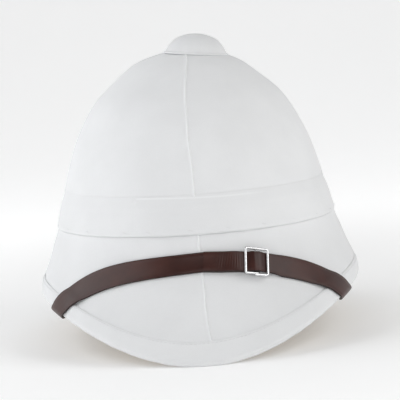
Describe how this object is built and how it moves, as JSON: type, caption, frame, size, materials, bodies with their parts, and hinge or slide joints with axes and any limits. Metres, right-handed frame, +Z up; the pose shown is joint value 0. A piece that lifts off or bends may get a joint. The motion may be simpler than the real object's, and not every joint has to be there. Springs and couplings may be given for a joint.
{
  "type": "pith helmet",
  "caption": "White cloth-covered pith sun helmet with a bound brim, plain band, ventilator cap and a leather chin strap buckled over the front peak.",
  "frame": {"origin": "on the surface that the brim rests on, under the middle of the whole helmet", "axes": "+Z up through the crown, front peak towards -Y, +X to the right of a viewer who faces the front"},
  "size_m": [0.2594, 0.3612, 0.2405],
  "materials": {
    "pith": "raw pith, matte",
    "cloth": "plain woven white cotton drill, matte",
    "binding": "white cotton strip, matte",
    "band": "folded white cotton band, matte",
    "cap": "white cotton stretched over a domed cap",
    "leather": "smooth brown strap leather, half gloss",
    "steel": "bright nickelled wire",
    "brass": "plain, hidden"
  },
  "bodies": {
    "root": {"pith_shell": "pith", "cover_front_left": "cloth", "cover_front_right": "cloth", "cover_rear_right": "cloth", "cover_rear_left": "cloth", "edge_binding": "binding", "puggaree": "band", "vent_cap": "cap", "vent_post": "brass", "chin_strap_right": "leather", "chin_strap_left": "leather", "buckle": "steel", "strap_stud_right": "brass", "strap_stud_left": "brass"}
  },
  "joints": []
}
